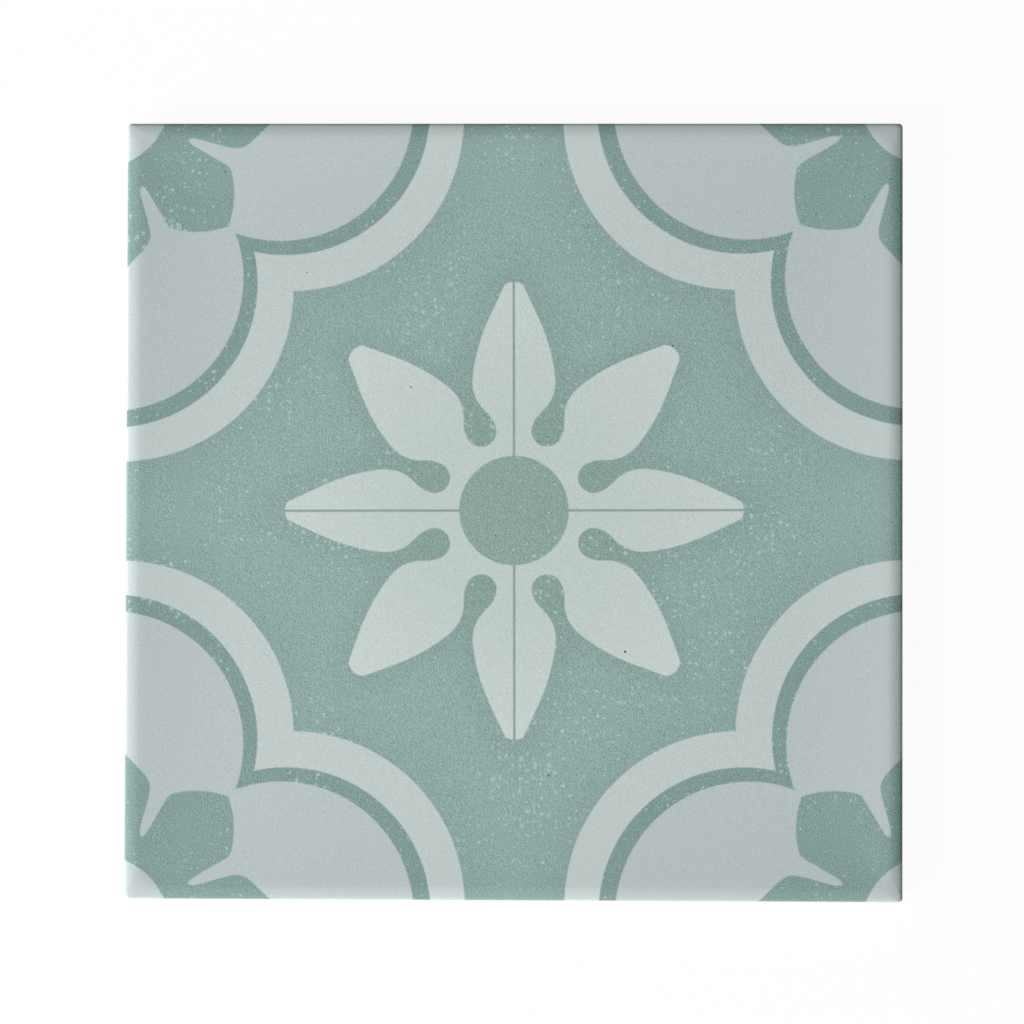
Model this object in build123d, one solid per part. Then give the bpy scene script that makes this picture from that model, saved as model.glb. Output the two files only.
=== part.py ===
"""A square glazed ceramic tile, dry-pressed and fired as one piece.

The printed face looks up and the keyed back lies on z = 0, so the origin is the middle of the
bedding plane. Lengths are in millimetres and angles in degrees.
"""

from build123d import *
import os

# Body
TILE_SIDE = 200.0         # side of the square
TILE_THICKNESS = 8.5      # bedding plane to the crest of the face
CORNER_RADIUS = 1.0       # upright corners, seen from above

# Rolled edge of the face
CUSHION_WIDTH = 3.8       # how far in from the side the face begins to fall
CUSHION_DROP = 0.75       # how far it has fallen where it meets the side
ARRIS_RADIUS = 1.2        # small round between the cushion and the side

# Shallow dish of the face, inside the crest where the rolled edge begins
DISH_WIDTH = 26.0         # how far in from the crest the face goes on falling
DISH_DEPTH = 0.65         # how far the flat middle lies below the crest

# Keyed back: shallow pockets between ribs, pressed in so that the adhesive grips
BACK_BEVEL = 0.5          # bevel round the foot of the sides
KEY_DEPTH = 0.6           # pocket depth
KEY_POCKET = 20.0         # pocket side, at its mouth
KEY_RIB = 4.0             # rib between two pockets
KEY_MARGIN = 6.0          # least plain rim outside the pockets
KEY_CORNER_RADIUS = 2.5   # pocket corners
KEY_DRAFT = 30.0          # lean of the pocket walls, which lets the punch out

NODE = "tile"


def half_section():
    """The section from the middle to one side: dished face, rolled edge, upright side, bevelled foot."""
    half = TILE_SIDE / 2
    crest = half - CUSHION_WIDTH
    middle = crest - DISH_WIDTH
    floor = TILE_THICKNESS - DISH_DEPTH
    shoulder = TILE_THICKNESS - CUSHION_DROP
    # The roll and the dish are two arcs that touch where the face turns from one to the other
    roll_radius = (CUSHION_WIDTH**2 + CUSHION_DROP**2) / (2 * CUSHION_DROP)
    both_radii = (DISH_WIDTH**2 + DISH_DEPTH**2) / (2 * DISH_DEPTH)
    roll_share = roll_radius / both_radii
    turn = (crest - roll_share * DISH_WIDTH, TILE_THICKNESS - roll_share * DISH_DEPTH)
    outline = [
        Polyline((middle, floor), (0, floor), (0, 0), (half, 0), (half, shoulder)),
        RadiusArc((half, shoulder), turn, -roll_radius),
        RadiusArc(turn, (middle, floor), both_radii - roll_radius),
    ]
    sharp = make_face(outline)
    arris = sharp.vertices().group_by(Axis.X)[-1].sort_by(Axis.Y)[-1]
    rolled = fillet(arris, ARRIS_RADIUS)
    foot = rolled.vertices().group_by(Axis.X)[-1].sort_by(Axis.Y)[0]
    return chamfer(foot, BACK_BEVEL)


def tile_blank():
    """The pressed square: one section on every side, mitred, with its upright corners rounded."""
    half = TILE_SIDE / 2
    run = extrude(Plane.XZ * half_section(), half, both=True)
    mitre = make_face(Polyline((0, 0), (half, -half), (half, half), close=True))
    quarter = run & extrude(mitre, TILE_THICKNESS)
    square = Part() + PolarLocations(radius=0, count=4) * quarter
    plan = extrude(RectangleRounded(TILE_SIDE, TILE_SIDE, CORNER_RADIUS), TILE_THICKNESS)
    return square & plan


def back_keys():
    """The pockets of the back, as one cutting tool, in as many rows as the side has room for."""
    pitch = KEY_POCKET + KEY_RIB
    rows = int((TILE_SIDE - 2 * KEY_MARGIN + KEY_RIB) // pitch)
    mouth = RectangleRounded(KEY_POCKET, KEY_POCKET, KEY_CORNER_RADIUS)
    pocket = extrude(mouth, KEY_DEPTH, taper=KEY_DRAFT)
    return GridLocations(pitch, pitch, rows, rows) * pocket


def main():
    os.makedirs("parts", exist_ok=True)
    tile = tile_blank() - back_keys()
    export_step(tile, os.path.join("parts", NODE + ".step"))
    print(NODE, "volume", round(tile.volume), "mm3, box", tile.bounding_box().size)


main()
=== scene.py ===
"""A square glazed ceramic tile lying on its back.

It has rolled edges, a slightly dished and printed matt face, bare biscuit sides and a keyed back. Lengths
are in metres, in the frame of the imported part: the origin is the middle of the bedding plane and +Z points
out of the printed face. Print sizes are in millimetres, measured from the middle of the print.
"""

import math

import bmesh
import bpy
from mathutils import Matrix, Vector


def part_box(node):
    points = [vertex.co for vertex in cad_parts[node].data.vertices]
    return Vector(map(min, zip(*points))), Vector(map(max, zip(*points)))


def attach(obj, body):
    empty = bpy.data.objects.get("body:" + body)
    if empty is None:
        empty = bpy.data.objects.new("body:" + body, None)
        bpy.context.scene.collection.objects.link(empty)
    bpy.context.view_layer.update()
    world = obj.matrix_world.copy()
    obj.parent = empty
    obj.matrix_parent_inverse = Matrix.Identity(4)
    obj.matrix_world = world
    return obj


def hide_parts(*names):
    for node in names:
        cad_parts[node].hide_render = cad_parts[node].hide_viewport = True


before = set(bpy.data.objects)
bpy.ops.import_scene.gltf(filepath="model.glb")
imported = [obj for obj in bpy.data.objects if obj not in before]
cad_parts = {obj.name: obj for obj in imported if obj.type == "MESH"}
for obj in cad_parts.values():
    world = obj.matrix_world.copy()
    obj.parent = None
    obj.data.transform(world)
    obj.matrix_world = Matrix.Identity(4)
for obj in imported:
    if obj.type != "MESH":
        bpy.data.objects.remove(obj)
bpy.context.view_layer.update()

MM = 0.001

# Body, as it is in the part
TILE_LOW, TILE_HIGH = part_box("tile")
SIDE = TILE_HIGH.x - TILE_LOW.x
HALF = SIDE / 2
THICKNESS = TILE_HIGH.z - TILE_LOW.z
CORNER_RADIUS = 1.0 * MM
CUSHION_WIDTH = 3.8 * MM
CUSHION_DROP = 0.75 * MM
ARRIS_RADIUS = 1.2 * MM
DISH_WIDTH = 26.0 * MM
DISH_DEPTH = 0.65 * MM
BACK_BEVEL = 0.5 * MM
KEY_DEPTH = 0.6 * MM
KEY_POCKET = 20.0 * MM
KEY_RIB = 4.0 * MM
KEY_MARGIN = 6.0 * MM
KEY_CORNER_RADIUS = 2.5 * MM
KEY_DRAFT = math.radians(30)

# How finely the body is drawn, and how softly its corners are eased
FLAT_MARGIN = 2.2 * MM        # from the fine grid of the face to the crest
FACE_CELLS = 290
CUSHION_RINGS = 8
ARRIS_RINGS = 6
CORNER_SEGMENTS = 8
SIDE_CUTS = 31
KEY_SEGMENTS = 4
CORNER_EASE = 1.0             # how much a ring's corner radius grows for each length inwards
DISH_EASE = 5.0 * MM          # width over which the dish's mitres are rounded
SMOOTH_ANGLE = math.radians(30)
WELD = 0.001 * MM
SAME_LEVEL = 0.0001 * MM

# Orange peel of the glaze, as real relief: never proud of the face
PEEL_DEPTH = 0.008 * MM
PEEL_SIZE = 1.4 * MM
PEEL_OCTAVES = 1


def cushion_section():
    """Radius of the rolled edge, its slope where it meets the arris, and the height of the arris's centre."""
    radius = (CUSHION_WIDTH**2 + CUSHION_DROP**2) / (2 * CUSHION_DROP)
    slope = math.asin((CUSHION_WIDTH - ARRIS_RADIUS) / (radius - ARRIS_RADIUS))
    arris_height = THICKNESS - radius + (radius - ARRIS_RADIUS) * math.cos(slope)
    return radius, slope, arris_height


def edge_rings():
    """Distance from the middle, height and corner radius of each ring, from the crest down to the foot."""
    radius, slope, arris_height = cushion_section()
    section = []
    for step in range(CUSHION_RINGS + 1):
        angle = slope * step / CUSHION_RINGS
        reach = HALF - CUSHION_WIDTH + radius * math.sin(angle)
        section.append((reach, THICKNESS - radius + radius * math.cos(angle)))
    for step in range(1, ARRIS_RINGS + 1):
        angle = slope + (math.pi / 2 - slope) * step / ARRIS_RINGS
        reach = HALF - ARRIS_RADIUS + ARRIS_RADIUS * math.sin(angle)
        section.append((reach, arris_height + ARRIS_RADIUS * math.cos(angle)))
    rings = [(reach, height, CORNER_RADIUS + CORNER_EASE * (HALF - reach)) for reach, height in section]
    rings.append((HALF, BACK_BEVEL, CORNER_RADIUS))
    rings.append((HALF - BACK_BEVEL, 0, CORNER_RADIUS - BACK_BEVEL))
    return rings


def select_edges(piece, wanted, open_only=False):
    """Selects the edges of a piece in edit mode whose two ends pass the test, or the open ones of them."""
    bpy.ops.mesh.select_mode(type="EDGE")
    bpy.ops.mesh.select_all(action="DESELECT")
    shape = bmesh.from_edit_mesh(piece.data)
    for edge in shape.edges:
        ends = [vertex.co for vertex in edge.verts]
        chosen = edge.is_boundary or not open_only
        edge.select_set(chosen and wanted(*ends))
    shape.select_flush_mode()
    bmesh.update_edit_mesh(piece.data)


def lies_at(edge_ends, height):
    """Whether an edge lies level at the height."""
    return all(abs(end.z - height) < SAME_LEVEL for end in edge_ends)


def roll_edge():
    """The rolled edge and the sides: round-cornered rings from the crest down to the foot, bridged."""
    bpy.ops.object.select_all(action="DESELECT")
    bpy.ops.mesh.primitive_plane_add(size=SIDE)
    rim = bpy.context.object
    bpy.ops.object.mode_set(mode="EDIT")
    bpy.ops.mesh.select_all(action="SELECT")
    bpy.ops.mesh.delete(type="VERT")
    above = THICKNESS
    for reach, height, corner in edge_rings():
        bpy.ops.mesh.primitive_plane_add(size=2 * reach, location=(0, 0, height))
        bpy.ops.mesh.bevel(
            offset_type="ABSOLUTE", offset=corner, segments=CORNER_SEGMENTS, affect="VERTICES",
        )
        select_edges(rim, lambda *ends: lies_at(ends, height))
        bpy.ops.mesh.delete(type="ONLY_FACE")
        select_edges(rim, lambda start, end: (start - end).length > HALF)
        bpy.ops.mesh.subdivide(number_cuts=SIDE_CUTS)
        if height < above:
            select_edges(rim, lambda *ends: lies_at(ends, height) or lies_at(ends, above))
            bpy.ops.mesh.bridge_edge_loops()
        above = height
    bpy.ops.object.mode_set(mode="OBJECT")
    return rim


def sink_dish(face):
    """Lowers a level grid to the shallow dish of the face, with its four mitres rounded."""
    crest = HALF - CUSHION_WIDTH
    middle = crest - DISH_WIDTH
    for vertex in face.data.vertices:
        across, up = abs(vertex.co.x), abs(vertex.co.y)
        near_mitre = max(DISH_EASE - abs(across - up), 0) / 2
        reach = min(max(across, up) + near_mitre**2 / DISH_EASE, crest)
        rise = max(reach - middle, 0) / DISH_WIDTH
        vertex.co.z -= DISH_DEPTH * (1 - rise**2)


def roughen_glaze(face):
    """Sinks the face by a soft cloud relief."""
    peel = bpy.data.textures.new("orange_peel", type="CLOUDS")
    peel.noise_scale = PEEL_SIZE
    peel.noise_depth = PEEL_OCTAVES
    relief = face.modifiers.new("orange_peel", "DISPLACE")
    relief.texture = peel
    relief.texture_coords = "LOCAL"
    relief.direction = "Z"
    relief.mid_level = 1.0
    relief.strength = PEEL_DEPTH
    bpy.ops.object.modifier_apply(modifier=relief.name)


def press_face():
    """The face inside the crest: a fine grid, which takes the dish and the relief of the glaze."""
    bpy.ops.object.select_all(action="DESELECT")
    reach = HALF - CUSHION_WIDTH - FLAT_MARGIN
    bpy.ops.mesh.primitive_grid_add(
        x_subdivisions=FACE_CELLS, y_subdivisions=FACE_CELLS, size=2 * reach, location=(0, 0, THICKNESS),
    )
    bpy.ops.object.transform_apply(location=True, rotation=True, scale=True)
    face = bpy.context.object
    sink_dish(face)
    roughen_glaze(face)
    return face


def press_back():
    """The keyed back: a grid of ribs with a drafted, round-cornered pocket sunk in each cell."""
    pitch = KEY_POCKET + KEY_RIB
    rows = int((SIDE - 2 * KEY_MARGIN + KEY_RIB) // pitch)
    bpy.ops.object.select_all(action="DESELECT")
    bpy.ops.mesh.primitive_grid_add(x_subdivisions=rows, y_subdivisions=rows, size=rows * pitch)
    back = bpy.context.object
    bpy.ops.object.mode_set(mode="EDIT")
    bpy.ops.mesh.select_all(action="SELECT")
    bpy.ops.mesh.flip_normals()
    bpy.ops.mesh.inset(thickness=KEY_RIB / 2, depth=0, use_individual=True)
    bpy.ops.mesh.inset(thickness=KEY_DEPTH * math.tan(KEY_DRAFT), depth=-KEY_DEPTH, use_individual=True)
    select_edges(back, lambda start, end: abs(start.z - end.z) > KEY_DEPTH / 2)
    bpy.ops.mesh.bevel(offset=KEY_CORNER_RADIUS, segments=KEY_SEGMENTS, affect="EDGES", clamp_overlap=True)
    bpy.ops.object.mode_set(mode="OBJECT")
    return back


def fire_tile():
    """The tile: rolled edge, face and keyed back joined and closed to one skin."""
    tile = roll_edge()
    face = press_face()
    back = press_back()
    bpy.ops.object.select_all(action="DESELECT")
    for piece in (face, back, tile):
        piece.select_set(True)
    bpy.context.view_layer.objects.active = tile
    bpy.ops.object.join()
    tile.name = "glazed_tile"
    tile.data.name = "glazed_tile"
    bpy.ops.object.mode_set(mode="EDIT")
    select_edges(tile, lambda start, end: start.z > THICKNESS / 2, open_only=True)
    bpy.ops.mesh.bridge_edge_loops()
    select_edges(tile, lambda start, end: start.z < THICKNESS / 2, open_only=True)
    bpy.ops.mesh.bridge_edge_loops()
    bpy.ops.mesh.select_all(action="SELECT")
    bpy.ops.mesh.remove_doubles(threshold=WELD)
    bpy.ops.mesh.normals_make_consistent(inside=False)
    bpy.ops.object.mode_set(mode="OBJECT")
    bpy.ops.object.shade_smooth_by_angle(angle=SMOOTH_ANGLE)
    return tile


# Flat map for storing the colours, as shares of its side: the face takes most of it, the sides run along two
# of its edges and the back has a corner
MAP_EDGE = 0.004
MAP_FACE = 0.87
MAP_STRIP = 0.04
MAP_BACK = 0.11
STEEP = 0.5


def lay_out_map(tile):
    """Gives each part of the surface its own place on a flat map."""
    layer = tile.data.uv_layers.new(name="OFBake")
    tile.data.uv_layers.active = layer
    grain = MAP_FACE / SIDE
    strip = MAP_EDGE * 2 + MAP_FACE
    back_corner = 1 - MAP_EDGE
    for polygon in tile.data.polygons:
        facing = polygon.normal
        inner = max(abs(polygon.center.x), abs(polygon.center.y)) < HALF - BACK_BEVEL
        for loop in polygon.loop_indices:
            x, y, z = tile.data.vertices[tile.data.loops[loop].vertex_index].co
            across, up = MAP_EDGE + (x + HALF) * grain, MAP_EDGE + (y + HALF) * grain
            drop = strip + (THICKNESS - z) * grain
            if facing.z > STEEP:
                place = (across, up)
            elif facing.z < -STEEP or inner:
                place = [back_corner - MAP_BACK * (HALF - offset) / SIDE for offset in (x, y)]
            elif abs(facing.x) > abs(facing.y):
                place = (drop + (MAP_STRIP if facing.x > 0 else 0), up)
            else:
                place = (across, drop + (MAP_STRIP if facing.y > 0 else 0))
            layer.data[loop].uv = place


tile = fire_tile()
lay_out_map(tile)
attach(tile, "root")
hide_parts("tile")


# Print, in millimetres from its own middle: it lies a little turned, shifted and shrunk on the body. One
# eighth of it, where along >= across >= 0, repeats round the middle. A circle is a centre and a radius, a
# straight line is the angle that it faces and its distance from the middle, and a blend rounds two outlines
# together.
PRINT_TURN = math.radians(0.22)
PRINT_SHIFT = (0.208 * MM, 0.149 * MM, 0)
PRINT_UNIT = (0.9994 * MM, 0.9975 * MM, MM)

# Flower
DISC_RADIUS = 14.0
PETAL_ANGLE = math.radians(45)    # from one petal's axis to the next
PETAL_STRAIGHT = 50.2             # where the flanks stop bowing and run straight
PETAL_HALF = 6.22                 # half the petal's width there
PETAL_TAPER = 0.467               # how much the half narrows for each length along
PETAL_BOW = 43.5                  # radius of the bow
AXIS_TIP = (59.12, 4.2)           # reach of the tip and radius of its crown
DIAGONAL_TIP = (58.76, 3.6)
TIP_BLEND = 0.25
MIDRIB_HALF = 0.27
DROP_PLACE = 22.12
DROP_RADIUS = 3.85
THROAT_PLACE = 30.86              # where the slit between two petals is narrowest
THROAT_HALF = 1.94                # half its width there
THROAT_RADIUS = 9.2
THROAT_BLEND = 1.9

# Lobes, rings and corners
LOBE = ((101.35, 57.33, 0), 44.65)
RING_OUTSIDE = ((103.44, 58.86, 0), 37.21)
RING_INSIDE = ((104.08, 60.11, 0), 34.39)
CORNER_DISC = ((106.1, 106.1, 0), 17.1)
LEAF_ROUND = ((82.06, 96.37, 0), 24.1)
LEAF_FLANK = (math.radians(-30.22), 39.92)
LEAF_BLEND = 1.3
HOOK_SLANT = (math.radians(45), 115.34)
HOOK_FLANK = (math.radians(-15.56), 70.95)
HOOK_BLEND = 4.8
THORN_END = (math.radians(50), 126.58)
THORN_BLEND = 3.5

# How far each shape's own tone holds
FLOWER_REACH = 62.0
RING_MIDDLE = 1.5
RING_EDGE = 0.5
CORNER_REACH = 8.0

# Inks, and how far from the middle one tone passes into another
PETAL_PALE = "becac6"
TIP_PALE = "c5d0cd"
PETAL_REACH = (24.0, 56.0)
BAND_PALE = "bdc8c7"
LOBE_PALE = "b6c0c0"
DISC_SAGE = "8aa39d"
DROP_SAGE = "869f99"
DROP_REACH = (15.0, 17.0)
GROUND_SAGE = "8ea9a5"
GROUND_REACH = (28.0, 45.0)
RING_SAGE = "7e9995"
LEAF_SAGE = "839e9a"
MIDRIB_SAGE = "829690"
FLECK_MINT = "a8c4bd"
PINHOLE_DARK = "1c2120"

# How cleanly the inks were laid
INK_SOFTNESS = 0.2
INK_SPREAD = 0.1
INK_POOL = (0.5, 12.0)            # the ground is deeper beside the pale ink than this far from it
INK_POOL_SHADE = 0.93
RIM_REACH = (92.5, 99.0)          # the sage is drawn darker over the rolled edge
RIM_SHADE = 0.92
INK_RAGGED = 0.12
INK_RAGGED_SIZE = 0.35
INK_RAGGED_DETAIL = 0.0

# Heights above the bedding plane between which the ink and the glaze end on the sides
INK_END = (7.25, 7.5)
GLAZE_END = (5.4, 5.7)
SPILL = 0.8
SPILL_SIZE = 9.0
SPILL_DETAIL = 2.0

# Pinholes in the glaze: across, up and radius
PINHOLES = (
    (28.5, -36.4, 0.36),
    (40.9, 42.4, 0.27),
    (97.0, 85.1, 0.24),
    (8.8, -68.2, 0.28),
    (-74.5, 87.7, 0.22),
    (-26.5, 31.9, 0.24),
    (-53.4, 61.6, 0.22),
)
PINHOLE_EDGE = 0.4                # share of the radius over which a pinhole fades

# Flecks in the sage ink: a lot drawn for each gives its size, and none shows below the first value
FLECK_SPACING = 1.8
FLECK_LOT = (0.35, 1.0)
FLECK_RADIUS = 0.8
FLECK_RAGGED = 0.8
FLECK_RAGGED_SIZE = 0.6
FLECK_RAGGED_DETAIL = 1.0
FLECK_EDGE = 0.4
FLECK_SHARE = 0.8
CLUMP_SIZE = 20.0
CLUMP_DETAIL = 1.0
CLUMP_RANGE = (0.3, 0.68)

# Glaze and biscuit
BASE_GLAZE = "cfd5d2"
BISCUIT = "c9c2b4"
GRAIN_SIZE = 0.35
GRAIN_DETAIL = 1.0
GRAIN_TINT = 0.88
GRAIN_DEPTH = 0.095 * MM
GRAIN_ON_PALE = 0.4
GLAZE_ROUGHNESS = 0.65
GLAZE_SHINE = 0.2
BISCUIT_ROUGHNESS = 0.85

# Kinds of node that are used often
MATH = "ShaderNodeMath"
VECTOR = "ShaderNodeVectorMath"
RANGE = "ShaderNodeMapRange"
MIX = "ShaderNodeMix"
MAPPING = "ShaderNodeMapping"
PARTS = "ShaderNodeSeparateXYZ"
NOISE = "ShaderNodeTexNoise"
NOISE_MIDDLE = 0.5


def linear(hex_colour):
    """The linear colour of an sRGB hex value, by the standard's own curve."""
    channels = [int(hex_colour[place:place + 2], 16) / 255 for place in (0, 2, 4)]
    return [c / 12.92 if c <= 0.04045 else ((c + 0.055) / 1.055) ** 2.4 for c in channels] + [1]


def add(tree, kind, inputs=(), **settings):
    """Adds a node with its settings, sets or links its inputs by place or name, and returns an output."""
    node = tree.nodes.new(kind)
    for name, value in settings.items():
        setattr(node, name, value)
    sockets = [socket for socket in node.inputs if socket.enabled]
    pairs = inputs.items() if isinstance(inputs, dict) else enumerate(inputs)
    for key, value in pairs:
        socket = node.inputs[key] if isinstance(key, str) else sockets[key]
        if isinstance(value, bpy.types.NodeSocket):
            tree.links.new(value, socket)
        else:
            socket.default_value = value
    return next(socket for socket in node.outputs if socket.enabled)


def round_edge(tree, place, centre, radius):
    """How far a place is outside a circle."""
    distance = add(tree, VECTOR, {0: place, 1: centre}, operation="DISTANCE").node.outputs["Value"]
    return add(tree, MATH, [distance, radius], operation="SUBTRACT")


def straight_edge(tree, place, angle, offset):
    """How far a place is beyond a straight line that faces the angle."""
    facing = (math.cos(angle), math.sin(angle), 0)
    reach = add(tree, VECTOR, {0: place, 1: facing}, operation="DOT_PRODUCT").node.outputs["Value"]
    return add(tree, MATH, [reach, offset], operation="SUBTRACT")


def outside_of(tree, edge):
    """An outline turned inside out."""
    return add(tree, MATH, [edge, -1], operation="MULTIPLY")


def parabola(tree, distance, radius, start):
    """A value that leaves its start by the square of a distance, with the radius of its curve at its foot."""
    square = add(tree, MATH, [distance, distance], operation="MULTIPLY")
    return add(tree, MATH, [square, 1 / (2 * radius), start], operation="MULTIPLY_ADD")


def turned(tree, place, angle):
    """A place as distances along and across an axis at the angle."""
    along_axis = add(tree, MAPPING, {"Vector": place, "Rotation": (0, 0, -angle)}, vector_type="POINT")
    return add(tree, VECTOR, [along_axis], operation="ABSOLUTE")


def petal(tree, place, tip, crown):
    """A petal along its own axis: flanks that bow, then run straight to a blunt, slightly crowned tip."""
    parts = add(tree, PARTS, [place]).node.outputs
    before = add(tree, MATH, [PETAL_STRAIGHT, parts["X"]], operation="SUBTRACT")
    straight = add(tree, MATH, [before, PETAL_TAPER, PETAL_HALF], operation="MULTIPLY_ADD")
    bowed = add(tree, MATH, [before, 0], operation="MAXIMUM")
    width = parabola(tree, bowed, -PETAL_BOW, straight)
    flank = add(tree, MATH, [parts["Y"], width], operation="SUBTRACT")
    crowned = parabola(tree, parts["Y"], crown, parts["X"])
    beyond_tip = add(tree, MATH, [crowned, tip], operation="SUBTRACT")
    return add(tree, MATH, [flank, beyond_tip, TIP_BLEND], operation="SMOOTH_MAX")


def drop(tree, place):
    """The round-ended slit between two petals, which narrows to a throat and opens again."""
    bulb = round_edge(tree, place, (DROP_PLACE, 0, 0), DROP_RADIUS)
    parts = add(tree, PARTS, [place]).node.outputs
    past_throat = add(tree, MATH, [parts["X"], THROAT_PLACE], operation="SUBTRACT")
    flare = parabola(tree, past_throat, THROAT_RADIUS, THROAT_HALF)
    width = add(tree, MATH, [flare, DROP_RADIUS, THROAT_BLEND], operation="SMOOTH_MIN")
    slit = add(tree, MATH, [parts["Y"], width], operation="SUBTRACT")
    before_bulb = add(tree, MATH, [DROP_PLACE, parts["X"]], operation="SUBTRACT")
    neck = add(tree, MATH, [slit, before_bulb], operation="MAXIMUM")
    return add(tree, MATH, [bulb, neck], operation="MINIMUM")


def flower(tree, place):
    """Eight petals round a disc, parted by the drops."""
    axis_petal = petal(tree, place, *AXIS_TIP)
    diagonal_petal = petal(tree, turned(tree, place, PETAL_ANGLE), *DIAGONAL_TIP)
    petals = add(tree, MATH, [axis_petal, diagonal_petal], operation="MINIMUM")
    slit = drop(tree, turned(tree, place, PETAL_ANGLE / 2))
    disc = round_edge(tree, place, (0, 0, 0), DISC_RADIUS)
    cut = add(tree, MATH, [slit, disc], operation="MINIMUM")
    return add(tree, MATH, [petals, outside_of(tree, cut)], operation="MAXIMUM")


def corner_leaf(tree, place):
    """The sage leaf in a corner: a round nose with a straight flank, hooked round the pale lobe's thorn."""
    nose = round_edge(tree, place, *LEAF_ROUND)
    flank = straight_edge(tree, place, *LEAF_FLANK)
    blade = add(tree, MATH, [nose, flank, LEAF_BLEND], operation="SMOOTH_MAX")
    slant = straight_edge(tree, place, *HOOK_SLANT)
    hook_flank = straight_edge(tree, place, *HOOK_FLANK)
    inside_hook = add(tree, MATH, [slant, hook_flank, HOOK_BLEND], operation="SMOOTH_MIN")
    hooked = add(tree, MATH, [blade, outside_of(tree, inside_hook)], operation="MINIMUM")
    end = outside_of(tree, straight_edge(tree, place, *THORN_END))
    return add(tree, MATH, [hooked, end, THORN_BLEND], operation="SMOOTH_MIN")


def print_edges(tree, place):
    """How far a place in the repeating eighth is outside each printed shape and outside all the pale ink."""
    edges = {
        "petals": flower(tree, place),
        "lobe": round_edge(tree, place, *LOBE),
        "ring_outside": round_edge(tree, place, *RING_OUTSIDE),
        "ring_inside": round_edge(tree, place, *RING_INSIDE),
        "corner": round_edge(tree, place, *CORNER_DISC),
    }
    outside_ring = outside_of(tree, edges["ring_outside"])
    pale_band = add(tree, MATH, [edges["lobe"], outside_ring], operation="MAXIMUM")
    outside_leaf = outside_of(tree, corner_leaf(tree, place))
    pale = add(tree, MATH, [edges["ring_inside"], outside_leaf], operation="MAXIMUM")
    for shape in (pale_band, edges["corner"], edges["petals"]):
        pale = add(tree, MATH, [pale, shape], operation="MINIMUM")
    edges["pale"] = pale
    return edges


def flecks(tree, place):
    """Share of the pale flecks that show through the sage ink: dots of many sizes, in loose clumps."""
    dots = add(
        tree, "ShaderNodeTexVoronoi", {"Vector": place, "Scale": 1 / FLECK_SPACING},
        voronoi_dimensions="2D",
    ).node.outputs
    lot = add(tree, PARTS, [dots["Color"]]).node.outputs["X"]
    size = add(tree, RANGE, [lot, *FLECK_LOT, 0, FLECK_RADIUS])
    clumps = add(tree, NOISE, {"Vector": place, "Scale": 1 / CLUMP_SIZE, "Detail": CLUMP_DETAIL})
    clumps = add(tree, RANGE, [clumps, *CLUMP_RANGE, 0, 1])
    size = add(tree, MATH, [size, clumps], operation="MULTIPLY")
    ragged = add(
        tree, NOISE, {"Vector": place, "Scale": 1 / FLECK_RAGGED_SIZE, "Detail": FLECK_RAGGED_DETAIL},
    )
    ragged = add(tree, RANGE, [ragged, 0, 1, -FLECK_RAGGED, FLECK_RAGGED])
    size = add(tree, MATH, [size, ragged], operation="ADD")
    distance = add(tree, MATH, [dots["Distance"], FLECK_SPACING], operation="MULTIPLY")
    outside = add(tree, MATH, [distance, size], operation="SUBTRACT")
    return add(tree, RANGE, [outside, -FLECK_EDGE, 0, FLECK_SHARE, 0])


def pale_inks(tree, radius, edges, at_corner):
    """Colour of the pale ink: warmer petals that lighten to their tips, then the bands, then the lobes."""
    to_tip = add(tree, RANGE, [radius, *PETAL_REACH, 0, 1])
    past_flower = add(tree, MATH, [radius, FLOWER_REACH], operation="GREATER_THAN")
    within_ring = add(tree, MATH, [edges["ring_outside"], -RING_MIDDLE], operation="LESS_THAN")
    inner_lobe = add(tree, MATH, [within_ring, at_corner], operation="MAXIMUM")
    tone = add(tree, MIX, [to_tip, linear(PETAL_PALE), linear(TIP_PALE)], data_type="RGBA")
    tone = add(tree, MIX, [past_flower, tone, linear(BAND_PALE)], data_type="RGBA")
    return add(tree, MIX, [inner_lobe, tone, linear(LOBE_PALE)], data_type="RGBA")


def sage_inks(tree, radius, edges, at_corner):
    """Colour of the sage ink: disc, drops, a ground that is deeper beside the pale ink, rings and leaves."""
    past_disc = add(tree, RANGE, [radius, *DROP_REACH, 0, 1])
    past_drops = add(tree, RANGE, [radius, *GROUND_REACH, 0, 1])
    from_pale = add(tree, RANGE, [edges["pale"], *INK_POOL, INK_POOL_SHADE, 1])
    within_lobe = add(tree, MATH, [edges["lobe"], 0], operation="LESS_THAN")
    within_ring = add(tree, MATH, [edges["ring_inside"], -RING_EDGE], operation="LESS_THAN")
    on_leaf = add(tree, MATH, [within_ring, at_corner], operation="MAXIMUM")
    tone = add(tree, MIX, [past_disc, linear(DISC_SAGE), linear(DROP_SAGE)], data_type="RGBA")
    pooled = add(tree, VECTOR, {"Vector": linear(GROUND_SAGE)[:3], "Scale": from_pale}, operation="SCALE")
    tone = add(tree, MIX, [past_drops, tone, pooled], data_type="RGBA")
    tone = add(tree, MIX, [within_lobe, tone, linear(RING_SAGE)], data_type="RGBA")
    return add(tree, MIX, [on_leaf, tone, linear(LEAF_SAGE)], data_type="RGBA")


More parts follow.
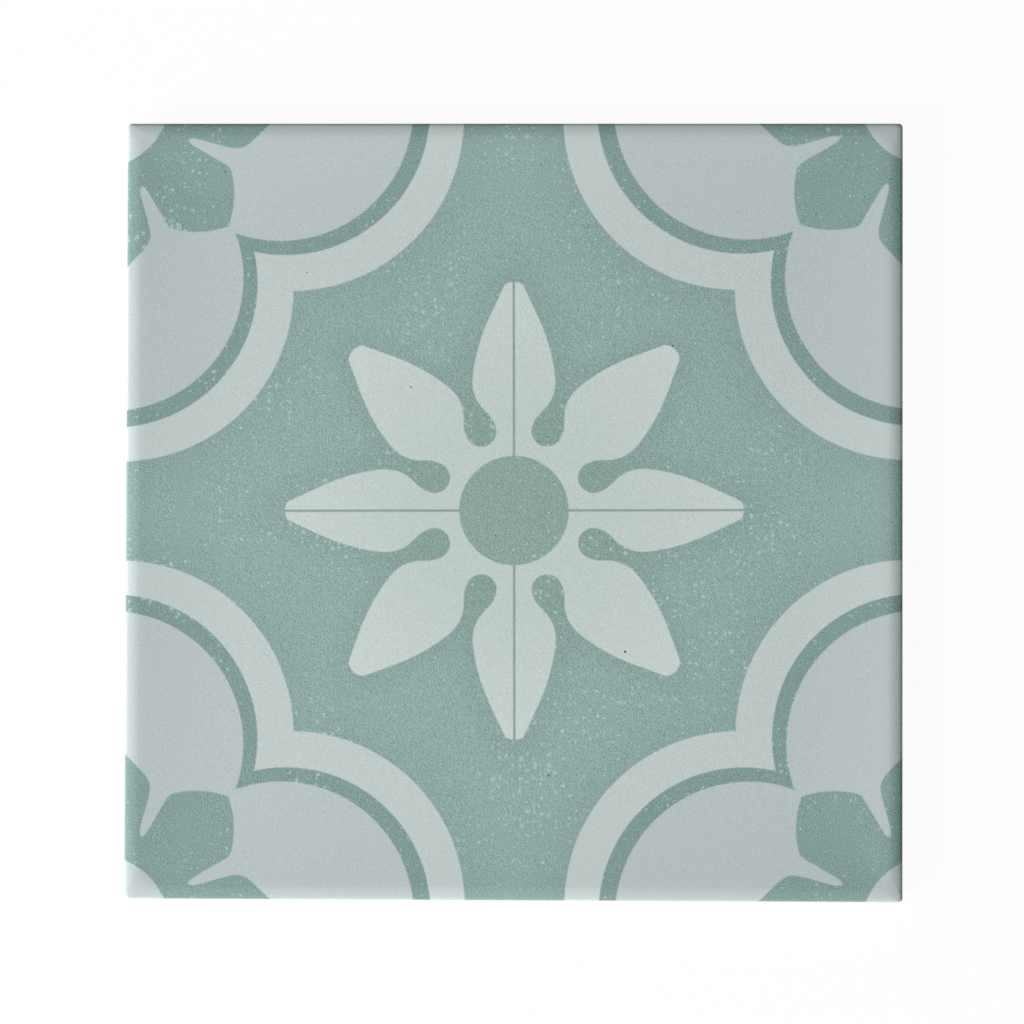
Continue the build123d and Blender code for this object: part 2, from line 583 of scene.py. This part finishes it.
def printed_colour(tree, place):
    """Colour of the print and the share of pale ink, for a place in millimetres from the print's middle."""
    folded = add(tree, VECTOR, [place], operation="ABSOLUTE")
    sides = add(tree, PARTS, [folded]).node.outputs
    along = add(tree, MATH, [sides["X"], sides["Y"]], operation="MAXIMUM")
    across = add(tree, MATH, [sides["X"], sides["Y"]], operation="MINIMUM")
    eighth = add(tree, "ShaderNodeCombineXYZ", [along, across, 0])
    radius = add(tree, VECTOR, [eighth], operation="LENGTH").node.outputs["Value"]
    edges = print_edges(tree, eighth)
    at_corner = add(tree, MATH, [edges["corner"], CORNER_REACH], operation="LESS_THAN")
    pale_tone = pale_inks(tree, radius, edges, at_corner)
    sage_tone = sage_inks(tree, radius, edges, at_corner)
    sage_tone = add(tree, MIX, [flecks(tree, place), sage_tone, linear(FLECK_MINT)], data_type="RGBA")
    # The sage is drawn darker towards the rim on every side, over the rolled edge.
    to_rim = add(tree, RANGE, [along, *RIM_REACH, 1, RIM_SHADE])
    sage_tone = add(tree, VECTOR, {"Vector": sage_tone, "Scale": to_rim}, operation="SCALE")

    pale_end = (-INK_SPREAD - INK_SOFTNESS, INK_SOFTNESS - INK_SPREAD)
    pale_share = add(tree, RANGE, [edges["pale"], *pale_end, 1, 0])
    midrib_end = (MIDRIB_HALF - INK_SOFTNESS, MIDRIB_HALF + INK_SOFTNESS)
    midrib = add(tree, RANGE, [across, *midrib_end, 1, 0])
    on_petal = add(tree, MATH, [edges["petals"], 0], operation="LESS_THAN")
    midrib = add(tree, MATH, [midrib, on_petal], operation="MULTIPLY")
    colour = add(tree, MIX, [pale_share, sage_tone, pale_tone], data_type="RGBA")
    colour = add(tree, MIX, [midrib, colour, linear(MIDRIB_SAGE)], data_type="RGBA")
    return colour, pale_share


def grained(tree, place, colour, pale_share):
    """A colour with the glaze's fine grain in it, stronger on the sage, and the height of the grain."""
    grain = add(tree, NOISE, {"Vector": place, "Scale": 1 / GRAIN_SIZE, "Detail": GRAIN_DETAIL})
    centred = add(tree, MATH, [grain, NOISE_MIDDLE], operation="SUBTRACT")
    strength = add(tree, RANGE, [pale_share, 0, 1, 1, GRAIN_ON_PALE])
    height = add(tree, MATH, [centred, strength], operation="MULTIPLY")
    shade = add(tree, MATH, [height, GRAIN_TINT, 1], operation="MULTIPLY_ADD")
    return add(tree, VECTOR, {"Vector": colour, "Scale": shade}, operation="SCALE"), height


def pinholed(tree, place, colour):
    """A colour with the dark pinholes of the glaze in it."""
    level = add(tree, VECTOR, [place, (1, 1, 0)], operation="MULTIPLY")
    for across, up, size in PINHOLES:
        beyond = round_edge(tree, level, (across, up, 0), size)
        hole = add(tree, RANGE, [beyond, -PINHOLE_EDGE * size, 0, 1, 0])
        colour = add(tree, MIX, [hole, colour, linear(PINHOLE_DARK)], data_type="RGBA")
    return colour


def strayed(tree, place):
    """A place moved a little at random, which makes the edges of the inks slightly ragged."""
    stray = add(
        tree, NOISE, {"Vector": place, "Scale": 1 / INK_RAGGED_SIZE, "Detail": INK_RAGGED_DETAIL},
    ).node.outputs["Color"]
    stray = add(tree, VECTOR, [stray, [NOISE_MIDDLE] * 3], operation="SUBTRACT")
    return add(tree, VECTOR, [stray, (INK_RAGGED, INK_RAGGED, 0), place], operation="MULTIPLY_ADD")


def printed_glaze():
    """Printed matt glaze, fired on a pale pressed biscuit: soft, nearly shineless and finely grained."""
    material = bpy.data.materials.new("printed_matt_glaze")
    material.use_nodes = True
    tree = material.node_tree
    shader = tree.nodes["Principled BSDF"]
    surface = add(tree, "ShaderNodeTexCoord").node.outputs["Object"]
    place = add(
        tree, MAPPING,
        {"Vector": surface, "Location": PRINT_SHIFT, "Rotation": (0, 0, PRINT_TURN), "Scale": PRINT_UNIT},
        vector_type="TEXTURE",
    )
    colour, pale_share = printed_colour(tree, strayed(tree, place))
    colour, grain = grained(tree, place, colour, pale_share)
    colour = pinholed(tree, place, colour)

    height = add(tree, PARTS, [place]).node.outputs["Z"]
    spill = add(tree, NOISE, {"Vector": place, "Scale": 1 / SPILL_SIZE, "Detail": SPILL_DETAIL})
    spilt = add(tree, MATH, [spill, SPILL, height], operation="MULTIPLY_ADD")
    inked = add(tree, RANGE, [height, *INK_END, 0, 1])
    glazed = add(tree, RANGE, [spilt, *GLAZE_END, 0, 1])
    colour = add(tree, MIX, [inked, linear(BASE_GLAZE), colour], data_type="RGBA")
    colour = add(tree, MIX, [glazed, linear(BISCUIT), colour], data_type="RGBA")
    roughness = add(tree, RANGE, [glazed, 0, 1, BISCUIT_ROUGHNESS, GLAZE_ROUGHNESS])
    bump = add(tree, "ShaderNodeBump", {"Strength": 1, "Distance": GRAIN_DEPTH, "Height": grain})
    tree.links.new(colour, shader.inputs["Base Color"])
    tree.links.new(roughness, shader.inputs["Roughness"])
    tree.links.new(bump, shader.inputs["Normal"])
    shader.inputs["Specular IOR Level"].default_value = GLAZE_SHINE
    return material


tile.data.materials.append(printed_glaze())

# Studio
FLOOR_SIZE = 8.0
FLOOR_COLOUR = "f4f4f4"
FLOOR_WHITE = 0.95
AMBIENT = 0.18
KEY_LEVEL = 0.86                  # how bright the lamp alone makes a level white surface
KEY_DISTANCE = 3.7
KEY_SIZE = 1.85
KEY_HEIGHT = math.radians(27)
KEY_BEARING = math.radians(209)


def seen_directly(tree):
    """1 for rays from the camera and for mirrored and transmitted ones, 0 for light falling on things."""
    path = add(tree, "ShaderNodeLightPath").node.outputs
    seen = add(tree, MATH, [path["Is Camera Ray"], path["Is Glossy Ray"]], operation="MAXIMUM")
    return add(tree, MATH, [seen, path["Is Transmission Ray"]], operation="MAXIMUM")


def lay_floor():
    """A pale painted floor that looks white and keeps a faint shadow."""
    bpy.ops.object.select_all(action="DESELECT")
    bpy.ops.mesh.primitive_plane_add(size=FLOOR_SIZE)
    floor = bpy.context.object
    floor.name = "floor"
    material = bpy.data.materials.new("white_floor")
    material.use_nodes = True
    tree = material.node_tree
    tree.nodes.clear()
    paint = add(tree, "ShaderNodeBsdfDiffuse", {"Color": linear(FLOOR_COLOUR)})
    white = add(tree, "ShaderNodeEmission", {"Strength": 1})
    share = add(tree, MATH, [seen_directly(tree), FLOOR_WHITE], operation="MULTIPLY")
    surface = add(tree, "ShaderNodeMixShader", [share, paint, white])
    output = tree.nodes.new("ShaderNodeOutputMaterial")
    tree.links.new(surface, output.inputs["Surface"])
    floor.data.materials.append(material)


def light_studio():
    """One wide soft lamp, low on the left and a little to the front, and an even dim room."""
    world = bpy.data.worlds.new("studio")
    bpy.context.scene.world = world
    world.use_nodes = True
    tree = world.node_tree
    strength = add(tree, RANGE, [seen_directly(tree), 0, 1, AMBIENT, 1])
    background = tree.nodes["Background"]
    background.inputs["Color"].default_value = (1, 1, 1, 1)
    tree.links.new(strength, background.inputs["Strength"])
    level = KEY_DISTANCE * math.cos(KEY_HEIGHT)
    height = KEY_DISTANCE * math.sin(KEY_HEIGHT)
    place = (level * math.cos(KEY_BEARING), level * math.sin(KEY_BEARING), height)
    aim = (0, math.pi / 2 - KEY_HEIGHT, KEY_BEARING)
    bpy.ops.object.light_add(type="AREA", location=place, rotation=aim)
    lamp = bpy.context.object.data
    lamp.size = KEY_SIZE
    lamp.energy = KEY_LEVEL * (math.pi * KEY_DISTANCE) ** 2 / math.sin(KEY_HEIGHT)


# Camera, nearly straight above
CAMERA_PLACE = (9.773 * MM, -9.148 * MM, 629.408 * MM)
CAMERA_TURN = (math.radians(0.823), math.radians(0.928), math.radians(0.155))
CAMERA_LENS = 85.0


def set_camera():
    """A long lens that looks down on the face."""
    bpy.ops.object.camera_add(location=CAMERA_PLACE, rotation=CAMERA_TURN)
    camera = bpy.context.object
    camera.data.lens = CAMERA_LENS
    bpy.context.scene.camera = camera


lay_floor()
light_studio()
set_camera()
bpy.context.scene.view_settings.view_transform = "Standard"
